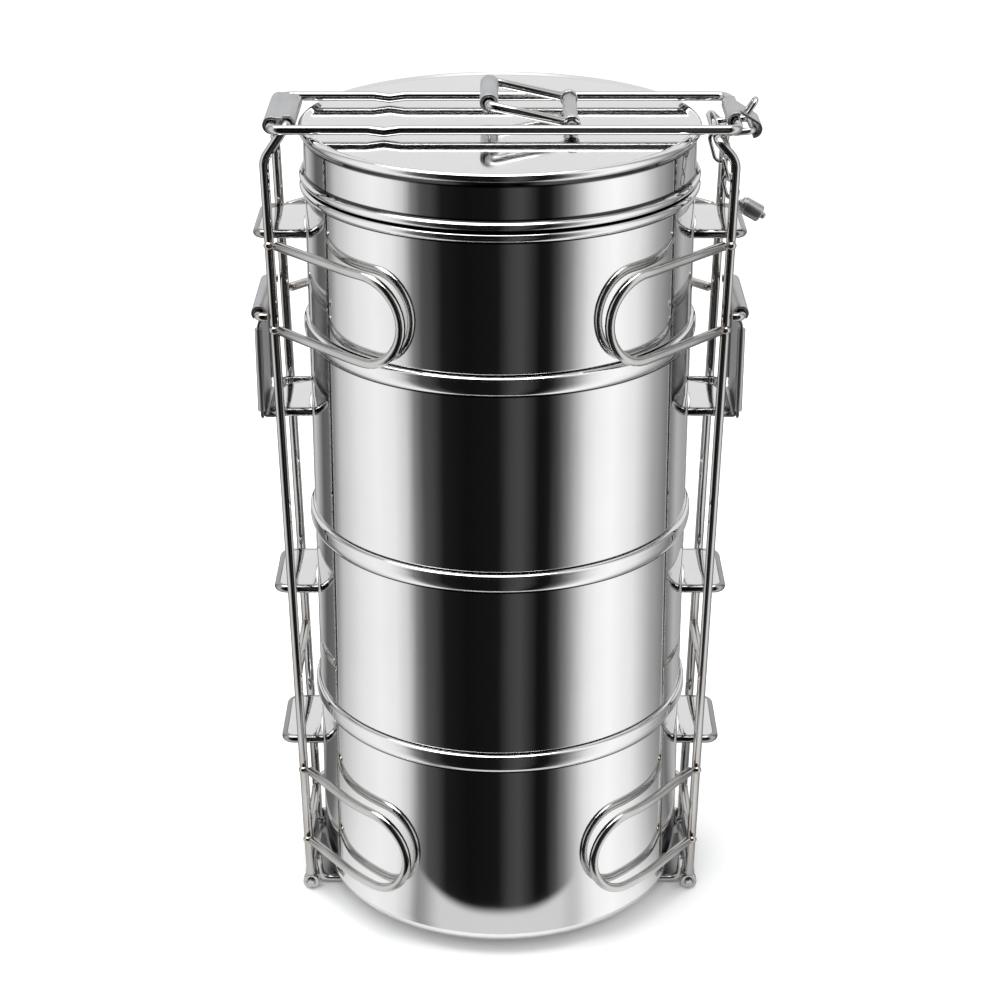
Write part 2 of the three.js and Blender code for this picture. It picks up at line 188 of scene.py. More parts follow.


# %% [markdown]
# Three finishes cover the whole carrier. The containers and their ears are mirror polished on a wheel, which
# leaves very faint upright ripples in the sheet and a little haze. The wires are drawn and then tumbled, so
# they are a touch duller, with a straw tint from the heat of each weld. Rolled strips such as the hinge link,
# the flaps and the grip are left satin, with fine lines along the rolling direction. The folds under each rim
# are painted near black as shade, and the ears' rolled edges get a darker copy of the polish as painted
# shade.

# %% Finishes
WELDS = (21.5, 24, 57, 100, 246, 250.5, 279)


def polished_steel(name, seed, creases=(), steel=(0.80, 0.88)):
    """creases: (height, half width) in mm of the folds, which are painted near black as shade."""
    paint = Finish(name)
    ripple = paint.noise((70 + seed, 70, 9), detail=3.0)
    haze = paint.noise((35, 35 + seed, 35), detail=4.0, rough=0.6)
    wipe = paint.noise((420, 420, 24), detail=2.0)
    dull, clean = steel
    tone = paint.blend(haze, (dull, dull, dull, 1), (clean, clean, clean, 1))
    spot = paint.node("ShaderNodeTexCoord", out="Object")
    height = paint.node("ShaderNodeSeparateXYZ", {}, {0: spot}, out="Z")
    # Painted shade: the colour in each fold is blended towards near black.
    for level, half in creases:
        off = paint.node("ShaderNodeMath", {"operation": "ABSOLUTE"}, {0: height - level * MM})
        crease_shade = paint.node("ShaderNodeMapRange", {"interpolation_type": "SMOOTHSTEP"}, {
            "Value": off, "From Min": half * 0.45 * MM, "From Max": half * MM, "To Min": 0.97, "To Max": 0.0})
        tone = paint.blend(crease_shade, tone, (0.035, 0.034, 0.033, 1))
    bump = paint.node("ShaderNodeBump", {}, {
        "Strength": 0.35, "Distance": 0.00012, "Height": ripple + wipe * 0.04}, out="Normal")
    return paint.done(paint.node("ShaderNodeBsdfPrincipled", {}, {
        "Base Color": tone, "Metallic": 1.0, "Roughness": haze * 0.05 + wipe * 0.02 + 0.035, "Normal": bump}))


def drawn_wire(name, heat=0.0):
    paint = Finish(name)
    spot = paint.node("ShaderNodeTexCoord", out="Object")
    folded = paint.node("ShaderNodeVectorMath", {"operation": "ABSOLUTE"}, {0: spot})
    patches = paint.noise((90, 90, 60), detail=3.0)
    near = None
    for level in WELDS:
        weld = (leg_x(level) * MM, LEG_Y * MM, level * MM)
        away = paint.node("ShaderNodeVectorMath", {"operation": "DISTANCE"}, {0: folded, 1: weld},
                          out="Value")
        if near:
            away = paint.node("ShaderNodeMath", {"operation": "MINIMUM"}, {0: near, 1: away})
        near = away
    tint = paint.node("ShaderNodeMapRange", {"interpolation_type": "SMOOTHSTEP"}, {
        "Value": near, "From Min": 0.002, "From Max": 0.016, "To Min": heat, "To Max": 0.0})
    steel = paint.blend(patches, (0.50, 0.495, 0.485, 1), (0.66, 0.655, 0.645, 1))
    steel = paint.blend(tint * (patches + 0.35), steel, (0.40, 0.32, 0.24, 1))
    scratch = paint.noise((700, 700, 120), detail=2.0)
    bump = paint.node("ShaderNodeBump", {}, {
        "Strength": 0.3, "Distance": 0.00004, "Height": scratch + patches * 0.6}, out="Normal")
    return paint.done(paint.node("ShaderNodeBsdfPrincipled", {}, {
        "Base Color": steel, "Metallic": 1.0, "Roughness": patches * 0.06 + 0.04, "Normal": bump}))


def satin_sheet(name, lines):
    paint = Finish(name)
    brushed = paint.noise(lines, detail=3.0, rough=0.6)
    clouds = paint.noise((55, 55, 55), detail=3.0)
    tone = paint.blend(clouds, (0.42, 0.425, 0.43, 1), (0.56, 0.565, 0.57, 1))
    bump = paint.node("ShaderNodeBump", {}, {
        "Strength": 0.45, "Distance": 0.00006, "Height": brushed}, out="Normal")
    return paint.done(paint.node("ShaderNodeBsdfPrincipled", {}, {
        "Base Color": tone, "Metallic": 1.0, "Roughness": brushed * 0.14 + 0.27, "Normal": bump}))


# The folds listed for each container and the lid carry painted shade, as thin near-black lines.
tier_polish = [polished_steel("mirror_polish_1", 3, [(RIM_Z[0] - 2.0, 0.6), (RIM_Z[0] + 1.9, 0.6)])]
for k, rim in enumerate(RIM_Z[1:], start=2):
    tier_polish.append(polished_steel(f"mirror_polish_{k}", 3 * k, [(rim - 3.9, 0.7)]))
lid_polish = polished_steel("lid_polish", 15, [(LID_TOP - 4.1, 1.4), (LID_LOW + 3.8, 0.8), (LID_LOW, 0.6)])
ear_polish = polished_steel("ear_polish", 20)
# Painted shade: the ears' rolled edges use a darker copy of the mirror polish.
ear_edge_shaded_polish = polished_steel("ear_edge_shaded_polish", 24, steel=(0.30, 0.42))
wire_finish = drawn_wire("drawn_wire", 0.3)
plain_wire = drawn_wire("drawn_wire_plain")
satin_across = satin_sheet("satin_sheet_across", (1500, 60, 1500))
satin_upright = satin_sheet("satin_sheet_upright", (1500, 1500, 60))
print("finishes:", len(bpy.data.materials))

# %% [markdown]
# Each piece ends in the same way: doubles are merged, the faces are turned outwards, the mesh is shaded
# smooth with sharp folds kept, the piece is hung on the body it rides on, and the solids it replaces are
# hidden.

# %% Settling a piece
FOLD = math.radians(38)


def settle(bm, name, body, nodes, paint):
    bmesh.ops.remove_doubles(bm, verts=bm.verts, dist=1e-7)
    bmesh.ops.recalc_face_normals(bm, faces=bm.faces)
    for face in bm.faces:
        face.smooth = True
    mesh = bpy.data.meshes.new(name)
    bm.to_mesh(mesh)
    bm.free()
    mesh.set_sharp_from_angle(angle=FOLD)
    mesh.materials.append(paint)
    piece = bpy.data.objects.new(name, mesh)
    scene.collection.objects.link(piece)
    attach(piece, body)
    if nodes:
        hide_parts(*nodes)
    print(f"{name}: {len(mesh.vertices)} points on {body}")
    return piece


def arc(cx, cz, radius, start, end, steps=24):
    """Points on an arc in the X-Z plane, from start to end in degrees, anticlockwise when end is larger."""
    turns = [math.radians(start + (end - start) * k / steps) for k in range(steps + 1)]
    return [(cx + radius * math.cos(t), cz + radius * math.sin(t)) for t in turns]


def round_corners(corners, bends, steps=8):
    """A polyline whose inner corners are true arcs. bends is one radius for all corners, or one for each."""
    radii = bends if isinstance(bends, (list, tuple)) else [bends] * len(corners)
    line = [corners[0]]
    for before, here, after, bend in zip(corners, corners[1:], corners[2:], radii[1:]):
        back, on = before - here, after - here
        angle = back.angle(on)
        if bend <= 0 or angle > math.radians(179.5):
            line.append(here)
            continue
        reach = min(bend / math.tan(angle / 2), 0.48 * back.length, 0.48 * on.length)
        radius = reach * math.tan(angle / 2)
        start, end = here + back.normalized() * reach, here + on.normalized() * reach
        centre = here + (back.normalized() + on.normalized()).normalized() * (radius / math.sin(angle / 2))
        a, b = start - centre, end - centre
        sweep = a.angle(b)
        for k in range(steps + 1):
            t = k / steps
            line.append(centre + (a * math.sin((1 - t) * sweep) + b * math.sin(t * sweep)) / math.sin(sweep))
    line.append(corners[-1])
    return line


# %% [markdown]
# The four containers and the lid are spun on a lathe from flat discs. Spinning a half outline about the
# upright axis is exactly how they are formed, so the spin operator is used. The mirror finish shows every
# crease, so each corner of the outline is an arc, with an extra ring close to where an arc meets a flat.

# %% Turning a container
TURN_STEPS = 176
HOLD = 0.35


def turned(corners):
    """corners: (radius, height, bend radius) from the axis out and back to the axis."""
    points = [Vector((r, z)) for r, z, _ in corners]
    line = round_corners(points, [bend for _, _, bend in corners], steps=6)
    held = [line[0]]
    for a, b in zip(line, line[1:]):
        gap = (b - a).length
        if gap > 3 * HOLD:
            held += [a + (b - a).normalized() * HOLD, b - (b - a).normalized() * HOLD]
        held.append(b)
    bm = bmesh.new()
    dots = [bm.verts.new((p.x * MM, 0, p.y * MM)) for p in held]
    edges = [bm.edges.new(pair) for pair in zip(dots, dots[1:])]
    bmesh.ops.spin(bm, geom=dots + edges, cent=(0, 0, 0), axis=(0, 0, 1), angle=math.tau,
                   steps=TURN_STEPS, use_merge=True)
    return bm


def rim_bulge(z, half):
    """The rolled rim: an oval bulge below its middle and a full round shoulder at its top."""
    turns = [math.radians(6 + 78 * k / 9) for k in range(9, -1, -1)]
    proud = RIM_R - WALL_R
    lower = [(WALL_R + proud * math.cos(t), z - half * math.sin(t), 0) for t in turns]
    upper = [(r, h, 0) for r, h in arc(RIM_R - 1.65, z + half - 1.75, 1.6, 8, 80, 7)]
    return [(WALL_R, z - half, 0.15), *lower, (RIM_R, z, 0), *upper]


# %% [markdown]
# Tiers 1 to 3 have a narrower foot that drops into the mouth below and a small shoulder that rests on its
# rim. Tier 4 stands at the bottom and has a generously rounded corner instead. Tier 1 is shallow and has
# only a thin rim.

# %% Four containers
for k, rim in enumerate(RIM_Z):
    half = RIM_HALF if k else THIN_RIM_HALF
    if k < 3:
        seat = RIM_Z[k + 1] + RIM_HALF + GAP
        low = seat - NEST_DEPTH
        outside = [(0, low, 0), (NEST_R, low, 2.4), (NEST_R, seat, 0.1), (WALL_R, seat, 0.9)]
        inside = [(MOUTH_R, seat + SHEET, 0.5), (NEST_R - SHEET, seat + SHEET, 0.4),
                  (NEST_R - SHEET, low + SHEET, 1.8), (0, low + SHEET, 0)]
    else:
        seat = BASE_Z
        outside = [(0, seat, 0), (WALL_R, seat, CORNER_R)]
        inside = [(MOUTH_R, seat + SHEET, CORNER_R - SHEET), (0, seat + SHEET, 0)]
    outline = outside + rim_bulge(rim, half) + [(MOUTH_R, rim + half, 0.3)] + inside
    tier = f"tier_{k + 1}"
    settle(turned(outline), f"container_{k + 1}", tier, [tier], tier_polish[k])

# %% [markdown]
# The lid is deep. Its top edge is rolled into a soft lip that stands just proud of the flat panel, and a
# bead low on its wall closes against the rim of the first container. A narrower lip goes inside that rim.

# %% Lid
panel = LID_TOP - LID_DISH
lid_outline = [
    (0, panel - SHEET, 0), (MOUTH_R, panel - SHEET, 2.0), (MOUTH_R, LID_LOW + 4, 0.8),
    (NEST_R - 1, LID_LOW + 2, 0.8), (NEST_R - 1, LID_LOW - 5, 0.3), (NEST_R, LID_LOW - 5, 0.3),
    (NEST_R, LID_LOW, 0.2), (WALL_R + 0.4, LID_LOW, 0.25),
]
lid_outline += [(r, z, 0) for r, z in arc(RIM_R - 1.5, LID_LOW + 1.8, 1.5, -78, 78, 10)]
lid_outline += [(WALL_R, LID_LOW + 3.7, 0.4), (WALL_R, LID_TOP - 4.6, 0.6)]
lid_outline += [(r, z, 0) for r, z in arc(RIM_R - 1.7, LID_TOP - 1.7, 1.7, -62, 105, 14)]
lid_outline += [(RIM_R - 3.9, panel, 1.4), (60, panel, 0), (30, panel, 0), (0, panel, 0)]
settle(turned(lid_outline), "lid_shell", "lid", ["lid"], lid_polish)

# %% [markdown]
# Everything that holds the stack is bent from wire. A wire is made the way it is drawn: a circle starts at
# one end, its edge is extruded to the next point of the route, and the new ring is turned to face along the
# route. A closed wire has its last ring bridged to its first.

# %% Bending wire
WIRE_SIDES = 20


def bend_wire(bm, route, radius, closed=False, sides=WIRE_SIDES):
    count = len(route)

    def heading(i):
        along = Vector((0, 0, 0))
        if closed or i > 0:
            along += (route[i] - route[i - 1]).normalized()
        if closed or i < count - 1:
            along += (route[(i + 1) % count] - route[i]).normalized()
        return along.normalized()

    facing = heading(0).to_track_quat("Z", "Y").to_matrix().to_4x4()
    start = bmesh.ops.create_circle(bm, segments=sides, radius=radius * MM,
                                    matrix=Matrix.Translation(route[0] * MM) @ facing)["verts"]
    first = list({edge for vert in start for edge in vert.link_edges})
    edges = first
    for i in range(1, count):
        grown = bmesh.ops.extrude_edge_only(bm, edges=edges)["geom"]
        ring = {item for item in grown if isinstance(item, bmesh.types.BMVert)}
        edges = [item for item in grown
                 if isinstance(item, bmesh.types.BMEdge) and set(item.verts) <= ring]
        turn = heading(i - 1).rotation_difference(heading(i)).to_matrix().to_4x4()
        step = Matrix.Translation(route[i] * MM) @ turn @ Matrix.Translation(-route[i - 1] * MM)
        bmesh.ops.transform(bm, matrix=step, verts=list(ring))
    if closed:
        bmesh.ops.bridge_loops(bm, edges=first + edges)
        return bm
    for loop in (first, edges):
        face = bmesh.ops.edgeloop_fill(bm, edges=loop)["faces"]
        bmesh.ops.bevel(bm, geom=list({e for f in face for e in f.edges}), offset=min(0.3, radius / 4) * MM,
                        affect="EDGES", segments=2, profile=0.5, material=-1)
    return bm


def wire(name, body, nodes, routes, radius=WIRE_R, bend=4.0, closed=False, paint=None):
    bm = bmesh.new()
    for route in routes:
        line = route
        if closed:
            middle = (route[0] + route[-1]) / 2
            line = round_corners([middle, *route, middle], bend)[:-1]
        elif bend:
            line = round_corners(route, bend)
        bend_wire(bm, line, radius, closed)
    return settle(bm, name, body, nodes, paint or wire_finish)


def barrel(bm, x, z, radius, y0, y1, bore=0.0, sides=40):
    """A round bar along Y, or a ring if it has a bore, spun from its half outline."""
    ends = [Vector((bore, y0)), Vector((radius, y0)), Vector((radius, y1)), Vector((bore, y1))]
    if bore:
        ends = round_corners([(ends[0] + ends[3]) / 2, *ends, (ends[0] + ends[3]) / 2], 0.35, 3)
    else:
        ends = round_corners(ends, 0.35, 3)
    dots = [bm.verts.new(((x + p.x) * MM, p.y * MM, z * MM)) for p in ends]
    edges = [bm.edges.new(pair) for pair in zip(dots, dots[1:])]
    bmesh.ops.spin(bm, geom=dots + edges, cent=(x * MM, 0, z * MM), axis=(0, 1, 0), angle=math.tau,
                   steps=sides, use_merge=True)
    return bm


# %% [markdown]
# A weld is a small puddle of metal that fills the corner between two wires. Without it the wires look as if
# they only lie side by side. Each one is a flattened ball, sunk into both wires.

# %% Welds
def welds(name, body, spots, radius=2.3):
    bm = bmesh.new()
    for x, y, z in spots:
        squeeze = Matrix.Diagonal((1.0, 1.0, 0.85, 1.0))
        bmesh.ops.create_icosphere(bm, subdivisions=3, radius=radius * MM,
                                   matrix=Matrix.Translation(Vector((x, y, z)) * MM) @ squeeze)
    return settle(bm, name, body, [], wire_finish)


# %% [markdown]
# Each side frame is one wire: up one leg, inwards over the shoulder, across the top and down the other leg.
# Its feet end in flat eyes that turn on a pin at the base.

# %% Side frames
for side, s in SIDES.items():
    body = f"{side}_frame"
    bar_x, bar_z, bend_z = CROSS[side]
    foot_x, shoulder_x = leg_x(FOOT_Z), leg_x(bend_z)
    corners = [(foot_x, -LEG_Y, FOOT_Z), (shoulder_x, -LEG_Y, bend_z), (bar_x, -CROSS_Y, bar_z),
               (bar_x, CROSS_Y, bar_z), (shoulder_x, LEG_Y, bend_z), (foot_x, LEG_Y, FOOT_Z)]
    route = round_corners([Vector((s * x, y, z)) for x, y, z in corners], [0, 7, 2.8, 2.8, 7, 0], 10)
    bm = bend_wire(bmesh.new(), route, WIRE_R)
    for y in (-LEG_Y, LEG_Y):
        barrel(bm, s * LEG_X0, PIN_Z, EYE_R, y - 1.8, y + 1.8, PIN_R + 0.25)
    settle(bm, f"side_frame_{side}", body, [f"side_wire_{side}"], wire_finish)
    pin = bend_wire(bmesh.new(), [Vector((s * LEG_X0, y, PIN_Z)) for y in (-26, 26)], PIN_R)
    settle(pin, f"foot_pin_{side}", "base", [f"hinge_pin_{side}"], plain_wire)
    for bar, z in (("mid_bar", MID_BAR_Z), ("low_bar", LOW_BAR_Z)):
        ends = [Vector((s * leg_x(z), y, z)) for y in (-BAR_HALF, BAR_HALF)]
        wire(f"{bar}_wire_{side}", body, [f"{bar}_{side}"], [ends], bend=0)
    joints = [(s * leg_x(z), e * (BAR_HALF + 0.5), z) for z in (LOW_BAR_Z, MID_BAR_Z) for e in (-1, 1)]
    joints += [(s * (leg_x(z) + 0.1), e * (LEG_Y + 1.9), z) for z in LOOP_ENDS for e in (-1, 1)]
    welds(f"frame_welds_{side}", body, joints, 1.95)

# %% [markdown]
# Four loops on each side frame hug the round walls, two high and two low. A loop leaves the leg, runs
# straight until it touches the wall, follows it for a short way, turns back in a half circle and returns.
# The bend around the wall and the half circle are worked out together, so the loop lies on a cylinder.

# %% Holding loops
def loop_route(s, e, top, low, last):
    mid, r = (top + low) / 2, (top - low) / 2
    leg = Vector((leg_x(mid), LEG_Y))
    touch = math.atan2(leg.y, leg.x) + math.acos(HUG_R / leg.length)
    plan = [HUG_R * Vector((math.cos(a), math.sin(a))) for a in
            [touch + (last - touch) * k / 8 for k in range(9)]]
    start = leg + (plan[0] - leg).normalized() * (2 * WIRE_R + 0.1)
    run = [start, start.lerp(plan[0], 0.5), *plan]
    out = [Vector((s * p.x, e * p.y, top)) for p in run]
    for k in range(1, 20):
        t = math.pi * k / 20
        a = last + r * math.sin(t) / HUG_R
        out.append(Vector((s * HUG_R * math.cos(a), e * HUG_R * math.sin(a), mid + r * math.cos(t))))
    return out + [Vector((s * p.x, e * p.y, low)) for p in reversed(run)]


for side, s in SIDES.items():
    for level, (top, low, last) in LOOPS.items():
        for end, e in (("front", -1), ("back", 1)):
            node = f"{level}_loop_{side}_{end}"
            wire(f"{node}_wire", f"{side}_frame", [node], [loop_route(s, e, top, low, last[side])], bend=0)

# %% [markdown]
# The ears are pressed from polished sheet with a rolled edge on the three free sides, which keeps them stiff
# and safe to hold. The flat part is one face grown from the wall's curve, given its thickness by Solidify.

# %% Ears
EAR_ROLL = 1.7
EAR_DROP = (1.0, 0.2, 1.0, 1.0)


def thicken(piece, thickness, soften=0.2):
    shell = piece.modifiers.new("sheet_thickness", "SOLIDIFY")
    shell.thickness, shell.offset, shell.use_even_offset = thickness * MM, 0.0, True
    edge = piece.modifiers.new("soft_edges", "BEVEL")
    edge.width, edge.segments, edge.limit_method, edge.angle_limit = soften * MM, 2, "ANGLE", FOLD
    return piece


for side, s in SIDES.items():
    for k, (z, outer) in enumerate(zip(EAR_Z, EAR_X)):
        inner, tip, half = WALL_R + 0.5, outer - EAR_ROLL, EAR_HALF - EAR_ROLL
        root = math.sqrt(inner ** 2 - half ** 2)
        rail = [Vector((s * x, y, z)) for x, y in ((root, -half), (tip, -half), (tip, half), (root, half))]
        drop = Vector((0, 0, EAR_DROP[k]))
        body, name = f"tier_{k + 1}", f"ear_{k + 1}_{side}"
        edge = [point - drop for point in rail]
        # The rolled edge takes the darker polish, which is painted shade.
        wire(f"{name}_rolled_edge", body, [], [edge], EAR_ROLL, 3.5, paint=ear_edge_shaded_polish)
        bm = bmesh.new()
        swing = math.asin(half / inner)
        wall = [Vector((s * inner * math.cos(a), inner * math.sin(a), z)) for a in
                [swing - 2 * swing * j / 12 for j in range(13)]]
        rim = round_corners([rail[0], rail[1], rail[2], rail[3]], 3.5)
        bm.faces.new([bm.verts.new(p * MM) for p in rim + wall[1:-1]])
        thicken(settle(bm, f"{name}_plate", body, [name], ear_polish), 1.1)

# %% [markdown]
# Hinge links, hasps and flaps are strips of sheet rolled round a wire. A strip is drawn as its edge line in
# the X-Z plane, extruded along Y from station to station, cleared where it has a hole, and then thickened.

# %% Rolling sheet
def rolled_sheet(name, body, nodes, path, stations, thickness, paint, hole=None, s=1):
    bm = bmesh.new()
    dots = [bm.verts.new((s * x * MM, stations[0] * MM, z * MM)) for x, z in path]
    edges = [bm.edges.new(pair) for pair in zip(dots, dots[1:])]
    for y0, y1 in zip(stations, stations[1:]):
        grown = bmesh.ops.extrude_edge_only(bm, edges=edges)["geom"]
        verts = {item for item in grown if isinstance(item, bmesh.types.BMVert)}
        bmesh.ops.translate(bm, verts=list(verts), vec=(0, (y1 - y0) * MM, 0))
        edges = [item for item in grown
                 if isinstance(item, bmesh.types.BMEdge) and set(item.verts) <= verts]
    if hole:
        centres = [(face, face.calc_center_median() / MM) for face in bm.faces]
        doomed = [face for face, c in centres if hole(s * c.x, abs(c.y), c.z)]
        bmesh.ops.delete(bm, geom=doomed, context="FACES")
    return thicken(settle(bm, name, body, nodes, paint), thickness)


# %% [markdown]
# The side flaps hang from their own bars outside the legs. Each has a rolled eye at the top, a straight
# leaf, a short lip that reaches in under the second ear, and rounded beads down its two upright edges.

# %% Flaps and their bars
for side, s in SIDES.items():
    stub = leg_x(FLAP_Z) + 2.4
    bar = [Vector((s * x, y, FLAP_Z)) for x, y in
           ((stub, -LEG_Y), (FLAP_X, -LEG_Y), (FLAP_X, LEG_Y), (stub, LEG_Y))]
    wire(f"flap_bar_wire_{side}", f"{side}_frame", [f"flap_bar_{side}"], [bar], 1.6, 2.0)
    leaf = FLAP_X + 0.5
    path = arc(FLAP_X, FLAP_Z, FLAP_EYE, -50, 245, 30) + [(leaf - 0.3, 246.6), (leaf, 245.4), (leaf, 226)]
    path += [(leaf, 209.4), (leaf - 0.3, 208.2), (leaf - 1.4, FLAP_LOW + 0.5), (leaf - 6.5, FLAP_LOW + 0.5)]
    stations = (-FLAP_HALF, -FLAP_TAB, FLAP_TAB, FLAP_HALF)
    rolled_sheet(f"flap_leaf_{side}", f"{side}_flap", [f"flap_{side}"], path, stations, 1.0,
                 satin_upright, lambda x, y, z: y > FLAP_TAB and z < FLAP_LOW + 1.4, s)
    beads = [[Vector((s * leaf, y, z)) for z in (211, 244.5)] for y in (-18.2, 18.2)]
    wire(f"flap_beads_{side}", f"{side}_flap", [], beads, 1.5, 0, paint=satin_upright)

# %% [markdown]
# The base is a flat strap under the bottom container. Both of its ends are rolled round a foot pin, and two
# thinner wires run beside it and turn up at the ends so that the container can't slide off.

# %% Base
strap_end = LEG_X0 - 2.6
strap_path = arc(-LEG_X0, PIN_Z, 2.3, 40, 265, 26) + [(-strap_end, 0.6), (0, 0.6), (strap_end, 0.6)]
strap_path += arc(LEG_X0, PIN_Z, 2.3, 275, 500, 26)
strap_stations = (-STRAP_HALF, 0, STRAP_HALF)
rolled_sheet("base_strap_sheet", "base", ["base_strap"], strap_path, strap_stations, STRIP, satin_across)
for end, y in (("front", -BASE_WIRE_Y), ("back", BASE_WIRE_Y)):
    route = [Vector((x, y, z)) for x, z in
             ((-75.6, 12), (-74.6, BASE_WIRE_Z), (74.6, BASE_WIRE_Z), (75.6, 12))]
    wire(f"base_wire_{end}_bent", "base", [f"base_wire_{end}"], [route], BASE_WIRE_R, 4.0,
         paint=plain_wire)
for side, s in SIDES.items():
    x = leg_x(12) + 0.4
    rolled_sheet(f"hinge_plate_sheet_{side}", f"{side}_frame", [f"hinge_plate_{side}"],
                 [(x, 7.1), (x, 12), (x, 19.3)], (-19.7, 0, 19.7), STRIP, satin_upright, None, s)

# %% [markdown]
# The top frame is one closed wire with a shallow dip in each long side. It turns at the left in the hinge
# link, a single strip with two rolls: the outer one holds the top frame and the inner one the side frame.

# %% Top frame and hinge link
def top_side(k):
    stops = (-TOP_LEFT_X, -48, -42, -36, TOP_RIGHT_X)
    return [Vector((x, k * TOP_WIRE_Y, TOP_WIRE_Z - 0.8 * (x == -42))) for x in stops]


wire("top_frame_wire", "top_frame", ["top_wire"], [top_side(-1) + top_side(1)[::-1]], WIRE_R, 4.0,
     closed=True, paint=plain_wire)
link_x = CROSS["left"][0]
between = (TOP_LEFT_X + link_x) / 2
link_path = arc(-TOP_LEFT_X, TOP_WIRE_Z, ROLL_R, -60, -300, 34)
link_path += arc(-link_x, TOP_WIRE_Z, ROLL_R, 120, -150, 34)
link_stations = (-OUTER_HALF, -INNER_HALF, 0, INNER_HALF, OUTER_HALF)
rolled_sheet("hinge_link_sheet", "left_frame", ["hinge_link"], link_path, link_stations, STRIP, satin_across,
             lambda x, y, z: x > -between and y > INNER_HALF)

# %% [markdown]
# The hasp turns on the right end of the top frame. Its leaf slopes outwards and ends in a curl, which closes
# over the keeper, a wire loop on the right frame's upper bar. A small wire eye on the leaf takes a lock.

# %% Hasp, keeper and lock eye
lean = math.degrees(math.atan2(KEEPER_Z - TOP_WIRE_Z, KEEPER_X - TOP_RIGHT_X)) + 90
hasp_path = arc(TOP_RIGHT_X, TOP_WIRE_Z, ROLL_R, 330, lean, 36)
hasp_path += arc(KEEPER_X, KEEPER_Z, CURL_R, lean, -90, 26)
hasp_stations = (-HASP_HALF, -7, 0, 7, HASP_HALF)
rolled_sheet("hasp_sheet", "hasp", ["hasp"], hasp_path, hasp_stations, STRIP, satin_across,
             lambda x, y, z: x > TOP_RIGHT_X + 2.2 and y > 7)
bar_x, bar_z = CROSS["right"][:2]
keeper = [Vector(p) for p in (
    (bar_x + 1.5, -KEEPER_HALF, bar_z), (KEEPER_X, -KEEPER_HALF, KEEPER_Z),
    (KEEPER_X, KEEPER_HALF, KEEPER_Z), (bar_x + 1.5, KEEPER_HALF, bar_z))]
wire("keeper_loop_wire", "right_frame", ["keeper_loop"], [keeper], KEEPER_R, 2.5, paint=plain_wire)
outward = Vector((math.cos(math.radians(lean)), 0, math.sin(math.radians(lean))))
on_leaf = Vector((TOP_RIGHT_X + KEEPER_X, 0, TOP_WIRE_Z + KEEPER_Z)) / 2 + outward * ROLL_R
eye = [on_leaf + outward * h + Vector((0, y, 0)) for h, y in ((0, -2.6), (6, -2.6), (6, 2.6), (0, 2.6))]
wire("lock_eye_wire", "hasp", ["lock_eye"], [eye], 0.9, 2.2, paint=plain_wire)

# %% [markdown]
# The carry handle is a short bail that lies flat until it is lifted. Its two eyes turn on a rod across the
# top frame, a spacer keeps them apart, and a rolled sleeve makes the bail kind to the fingers.

# %% Carry handle
reach = TOP_WIRE_Y - WIRE_R + 0.4
rod = [Vector((HANDLE_X, y, HANDLE_Z)) for y in (-reach, reach)]
bm = bend_wire(bmesh.new(), rod, ROD_R)
barrel(bm, HANDLE_X, HANDLE_Z, SPACER_R, -SPACER_HALF, SPACER_HALF)
settle(bm, "handle_cross_rod", "top_frame", ["handle_rod"], satin_across)
bail_route = [Vector((x, k * HANDLE_Y, z)) for k, x, z in (
    (-1, HANDLE_X - 2.4, HANDLE_Z + 0.5), (-1, GRIP_X, GRIP_Z), (1, GRIP_X, GRIP_Z),
    (1, HANDLE_X - 2.4, HANDLE_Z + 0.5))]
bm = bend_wire(bmesh.new(), round_corners(bail_route, 3.2), WIRE_R)
for y in (-HANDLE_Y, HANDLE_Y):
    barrel(bm, HANDLE_X, HANDLE_Z, BAIL_EYE, y - 1.7, y + 1.7, ROD_R + 0.25)
settle(bm, "handle_bail_wire", "carry_handle", ["handle_bail"], plain_wire)
sleeve_path = arc(GRIP_X, GRIP_Z, SLEEVE_R, -80, 262, 40)
rolled_sheet("grip_sleeve", "carry_handle", ["handle_grip"], sleeve_path, (-15, 0, 15), STRIP, satin_across)

# %% [markdown]
# The lock pin hangs beside the hasp on three chain links. Neighbouring links stand at right angles, as in
# any chain, and the pin is a turned body with a collar, a ring at its head and a thin nose.

# %% Chain and lock pin
down = Vector((0.28, 0, -0.96)).normalized()
lying = Vector((0.87, 0, -0.493)).normalized()
across = Vector((0, 1, 0))
flat = down.cross(across).normalized()
hook = Vector((bar_x, CHAIN_Y, bar_z))


def link_route(centre, length, width, sideways):
    middle, w, l = hook + down * centre, width / 2, (length - width) / 2
    route = []
    for end in (1, -1):
        for k in range(13):
            t = math.pi * k / 12 - math.pi / 2
            route.append(middle + down * end * (l + w * math.cos(t)) + sideways * end * w * math.sin(t))
    return route


for k, (centre, length, width, sideways) in enumerate(
        ((3.35, 12, 6, flat), (12.1, 9, 4.4, across), (19.3, 9, 4.4, flat)), start=1):
    bm = bend_wire(bmesh.new(), link_route(centre, length, width, sideways), CHAIN_R, True, 12)
    settle(bm, f"chain_link_{k}_wire", "lock_chain", [f"chain_link_{k}"], plain_wire)

